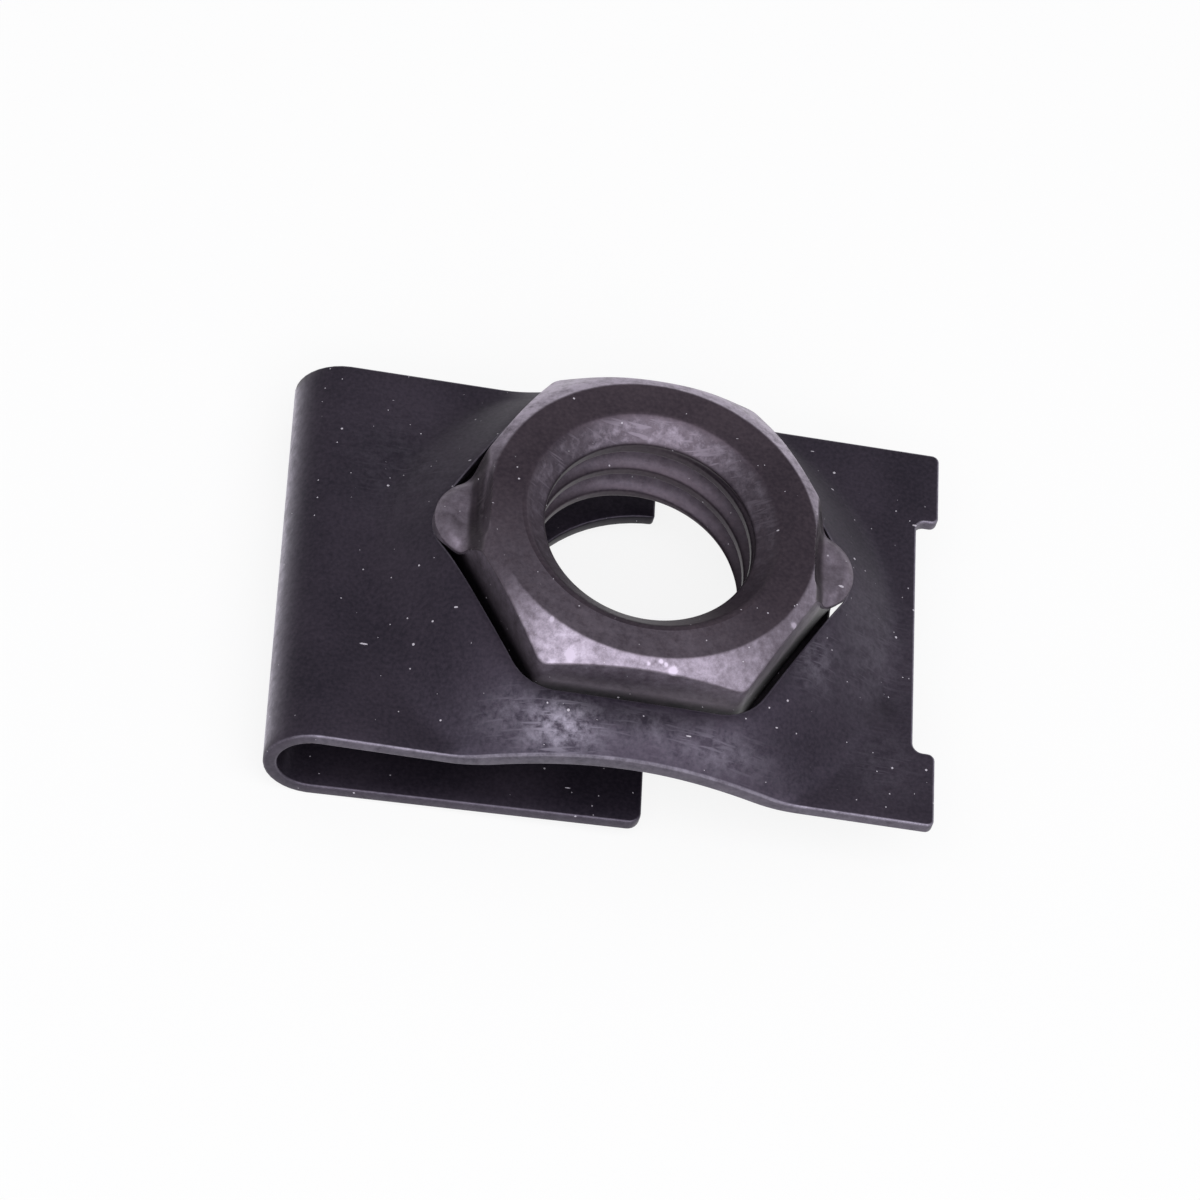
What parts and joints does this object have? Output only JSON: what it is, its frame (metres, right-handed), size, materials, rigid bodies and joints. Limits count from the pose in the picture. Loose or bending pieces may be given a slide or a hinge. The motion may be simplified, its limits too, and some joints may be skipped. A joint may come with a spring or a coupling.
{
  "type": "j nut",
  "caption": "J nut: a folded sheet-steel clip with a raised pad that carries a staked, chamfered hexagon nut over a short leg with a half-round bolt opening.",
  "frame": {"origin": "thread axis where the thread starts, at the inner end of the edge break at the nut's panel face", "axes": "+Z along the thread axis from the panel face to the nut's top ring, +X along the strip from the fold to the eared end, +Y across the strip"},
  "size_m": [0.0261, 0.018, 0.0079],
  "materials": {
    "spring_clip": "satin dark phosphate on spring steel",
    "hex_nut": "satin dark phosphate, worn bright on the chamfers"
  },
  "bodies": {
    "root": {"spring_clip": "spring_clip", "hex_nut": "hex_nut"}
  },
  "joints": []
}
